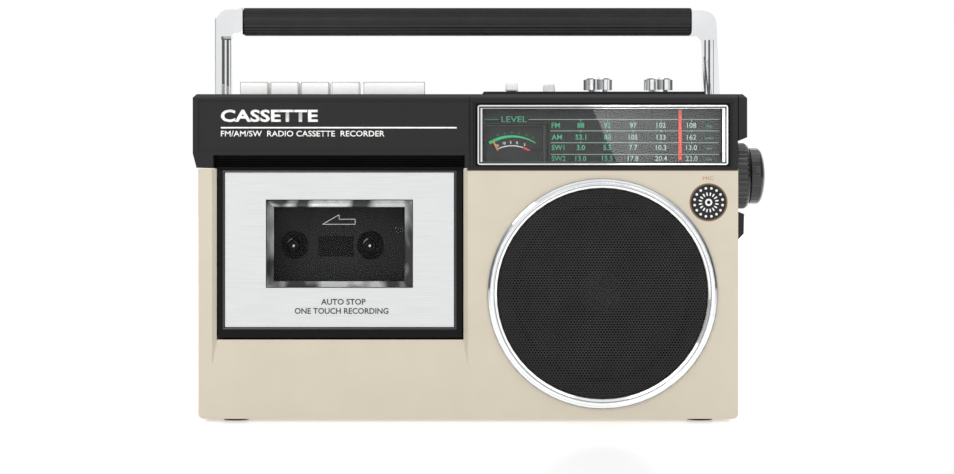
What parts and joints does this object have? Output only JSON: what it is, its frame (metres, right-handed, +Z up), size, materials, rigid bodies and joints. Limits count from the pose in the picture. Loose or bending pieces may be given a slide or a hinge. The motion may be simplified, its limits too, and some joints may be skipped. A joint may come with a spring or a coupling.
{
  "type": "portable radio cassette recorder",
  "caption": "Portable radio cassette recorder with a folding carry handle, front cassette door, round speaker, slide-rule tuning dial, level meter, piano keys and side tuning knob.",
  "frame": {"origin": "on the floor under the middle of the bounding box", "axes": "+X to the right seen from the front, +Y to the rear, +Z up; the front faces -Y"},
  "size_m": [0.323, 0.0996, 0.2331],
  "materials": {
    "beige_plastic": "satin, slightly warm beige moulding",
    "black_plastic": "fine satin black moulding",
    "gloss_black": "polished black moulding",
    "chrome_trim": "bright plating",
    "brushed_silver": "horizontal brushing",
    "ivory_plastic": "smooth off-white moulding",
    "clear_plastic": "clear polished acrylic",
    "steel": "zinc plated sheet and shafts",
    "brass": "turned brass",
    "red_plastic": "red pointer",
    "orange_plastic": "orange needle",
    "circuit_board": "green laminate",
    "paper_cone": "pressed dark paper",
    "rubber": "black rubber"
  },
  "bodies": {
    "radio_body": {"front_cabinet": "beige_plastic", "rear_cabinet": "beige_plastic", "top_cover": "black_plastic", "side_pod": "black_plastic", "foot_front_left": "rubber", "foot_front_right": "rubber", "foot_rear_left": "rubber", "foot_rear_right": "rubber", "dial_frame": "chrome_trim", "dial_lens": "clear_plastic", "dial_plate": "gloss_black", "meter_housing": "gloss_black", "speaker_ring": "chrome_trim", "speaker_grille": "black_plastic", "speaker_basket": "steel", "speaker_magnet": "steel", "mic_bezel": "black_plastic", "deck_plate": "steel", "drive_motor": "steel", "drive_belt": "rubber", "key_shaft": "steel", "main_board": "circuit_board", "power_transformer": "steel", "ac_inlet": "black_plastic"},
    "carrying_handle": {"handle_arm_left": "chrome_trim", "handle_arm_right": "chrome_trim", "handle_grip": "rubber"},
    "cassette_door": {"door_frame": "black_plastic", "door_plate": "brushed_silver", "door_window": "clear_plastic", "cassette_holder": "black_plastic"},
    "battery_lid": {"battery_door": "beige_plastic"},
    "pointer": {"dial_pointer": "red_plastic"},
    "needle": {"meter_needle": "orange_plastic"},
    "cone": {"speaker_cone": "paper_cone"},
    "supply_hub": {"supply_spindle": "ivory_plastic"},
    "takeup_hub": {"takeup_spindle": "ivory_plastic"},
    "capstan_flywheel": {"flywheel": "brass"},
    "pulley": {"motor_pulley": "brass"},
    "head_carriage": {"head_plate": "steel", "record_play_head": "chrome_trim", "erase_head": "ivory_plastic"},
    "roller_arm": {"pinch_arm": "steel"},
    "roller": {"pinch_roller": "rubber"},
    "latch": {"door_latch": "steel"},
    "record_key": {"key_record": "ivory_plastic"},
    "play_key": {"key_play": "ivory_plastic"},
    "rewind_key": {"key_rewind": "ivory_plastic"},
    "forward_key": {"key_forward": "ivory_plastic"},
    "stop_eject_key": {"key_stop_eject": "ivory_plastic"},
    "function_switch": {"function_switch_knob": "ivory_plastic"},
    "band_switch": {"band_switch_knob": "ivory_plastic"},
    "volume": {"volume_knob": "chrome_trim"},
    "tone": {"tone_knob": "chrome_trim"},
    "fine_ring": {"fine_tuning_ring": "gloss_black"},
    "tuner": {"tuning_knob": "gloss_black"},
    "aerial_base": {"antenna_base": "chrome_trim"},
    "aerial_lower": {"antenna_tube_lower": "chrome_trim"},
    "aerial_middle": {"antenna_tube_middle": "chrome_trim"},
    "aerial_tip": {"antenna_tube_tip": "chrome_trim"}
  },
  "joints": [
    {"name": "handle_fold", "type": "hinge", "parent": "radio_body", "child": "carrying_handle", "pos_m": [-0.0084, -0.0001, 0.172], "axis": [-1, 0, 0], "range_deg": [0, 90]},
    {"name": "door_swing", "type": "hinge", "parent": "radio_body", "child": "cassette_door", "pos_m": [-0.0797, -0.0421, 0.05], "axis": [1, 0, 0], "range_deg": [0, 35]},
    {"name": "battery_lid_swing", "type": "hinge", "parent": "radio_body", "child": "battery_lid", "pos_m": [-0.0764, 0.0414, 0.008], "axis": [-1, 0, 0], "range_deg": [0, 80]},
    {"name": "record_press", "type": "hinge", "parent": "radio_body", "child": "record_key", "pos_m": [-0.1284, -0.0036, 0.174], "axis": [1, 0, 0], "range_deg": [0, 7], "stiffness_Nm_per_rad": 0.6, "springref_deg": -5.73},
    {"name": "play_press", "type": "hinge", "parent": "radio_body", "child": "play_key", "pos_m": [-0.1113, -0.0036, 0.174], "axis": [1, 0, 0], "range_deg": [0, 7], "stiffness_Nm_per_rad": 0.6, "springref_deg": -5.73},
    {"name": "rewind_press", "type": "hinge", "parent": "radio_body", "child": "rewind_key", "pos_m": [-0.0942, -0.0036, 0.174], "axis": [1, 0, 0], "range_deg": [0, 7], "stiffness_Nm_per_rad": 0.6, "springref_deg": -5.73},
    {"name": "forward_press", "type": "hinge", "parent": "radio_body", "child": "forward_key", "pos_m": [-0.0771, -0.0036, 0.174], "axis": [1, 0, 0], "range_deg": [0, 7], "stiffness_Nm_per_rad": 0.6, "springref_deg": -5.73},
    {"name": "stop_eject_press", "type": "hinge", "parent": "radio_body", "child": "stop_eject_key", "pos_m": [-0.0498, -0.0036, 0.174], "axis": [1, 0, 0], "range_deg": [0, 7], "stiffness_Nm_per_rad": 0.6, "springref_deg": -5.73},
    {"name": "head_advance", "type": "slide", "parent": "radio_body", "child": "head_carriage", "axis": [0, 0, -1], "range_m": [0, 0.0061]},
    {"name": "roller_arm_swing", "type": "hinge", "parent": "radio_body", "child": "roller_arm", "pos_m": [-0.1304, -0.0276, 0.1356], "axis": [0, 1, 0], "range_deg": [0, 25.2]},
    {"name": "roller_spin", "type": "hinge", "parent": "roller_arm", "child": "roller", "pos_m": [-0.1138, -0.0326, 0.1393], "axis": [0, 1, 0], "continuous": true},
    {"name": "latch_lift", "type": "slide", "parent": "radio_body", "child": "latch", "axis": [0, 0, 1], "range_m": [0, 0.0031]},
    {"name": "flywheel_spin", "type": "hinge", "parent": "radio_body", "child": "capstan_flywheel", "pos_m": [-0.1138, -0.0026, 0.1243], "axis": [0, 1, 0], "continuous": true},
    {"name": "pulley_spin", "type": "hinge", "parent": "radio_body", "child": "pulley", "pos_m": [-0.0444, -0.0026, 0.124], "axis": [0, 1, 0], "continuous": true},
    {"name": "supply_spin", "type": "hinge", "parent": "radio_body", "child": "supply_hub", "pos_m": [-0.06355, -0.0276, 0.0973], "axis": [0, 1, 0], "continuous": true},
    {"name": "takeup_spin", "type": "hinge", "parent": "radio_body", "child": "takeup_hub", "pos_m": [-0.10605, -0.0276, 0.0973], "axis": [0, 1, 0], "continuous": true},
    {"name": "volume_turn", "type": "hinge", "parent": "radio_body", "child": "volume", "pos_m": [0.0658, -0.0156, 0.186], "axis": [0, 0, 1], "range_deg": [-135, 135]},
    {"name": "tone_turn", "type": "hinge", "parent": "radio_body", "child": "tone", "pos_m": [0.1002, -0.0156, 0.186], "axis": [0, 0, 1], "range_deg": [-135, 135]},
    {"name": "tuning_turn", "type": "hinge", "parent": "radio_body", "child": "tuner", "pos_m": [0.1516, -0.0076, 0.1365], "axis": [1, 0, 0], "range_deg": [-590, 100]},
    {"name": "pointer_travel", "type": "slide", "parent": "radio_body", "child": "pointer", "axis": [1, 0, 0], "range_m": [-0.0621, 0.0106]},
    {"name": "fine_tuning_turn", "type": "hinge", "parent": "radio_body", "child": "fine_ring", "pos_m": [0.1476, -0.0076, 0.1365], "axis": [1, 0, 0], "range_deg": [-60, 60]},
    {"name": "function_switch_slide", "type": "slide", "parent": "radio_body", "child": "function_switch", "axis": [1, 0, 0], "range_m": [-0.007, 0.007]},
    {"name": "band_switch_slide", "type": "slide", "parent": "radio_body", "child": "band_switch", "axis": [1, 0, 0], "range_m": [-0.007, 0.007]},
    {"name": "meter_swing", "type": "hinge", "parent": "radio_body", "child": "needle", "pos_m": [0.0161, -0.0416, 0.1346], "axis": [0, 1, 0], "range_deg": [0, 52], "stiffness_Nm_per_rad": 0.0004, "springref_deg": -11.46},
    {"name": "cone_travel", "type": "slide", "parent": "radio_body", "child": "cone", "axis": [0, 1, 0], "range_m": [-0.001, 0.001], "stiffness_N_per_m": 1000},
    {"name": "antenna_swivel", "type": "hinge", "parent": "radio_body", "child": "aerial_base", "pos_m": [0.1156, 0.0424, 0.15], "axis": [0, 1, 0], "range_deg": [0, 180]},
    {"name": "antenna_elbow", "type": "hinge", "parent": "aerial_base", "child": "aerial_lower", "pos_m": [0.1156, 0.0472, 0.15], "axis": [0, 0, -1], "range_deg": [0, 90]},
    {"name": "antenna_extend_middle", "type": "slide", "parent": "aerial_lower", "child": "aerial_middle", "axis": [-1, 0, 0], "range_m": [0, 0.125]},
    {"name": "antenna_extend_tip", "type": "slide", "parent": "aerial_middle", "child": "aerial_tip", "axis": [-1, 0, 0], "range_m": [0, 0.12]}
  ],
  "couplings": [
    {"joint": "head_advance", "follows": "play_press", "m_per_rad": 0.0491},
    {"joint": "roller_arm_swing", "follows": "play_press", "ratio": 3.57},
    {"joint": "latch_lift", "follows": "stop_eject_press", "m_per_rad": 0.0245},
    {"joint": "pulley_spin", "follows": "flywheel_spin", "ratio": 5.3333},
    {"joint": "pointer_travel", "follows": "tuning_turn", "m_per_rad": 0.006}
  ]
}
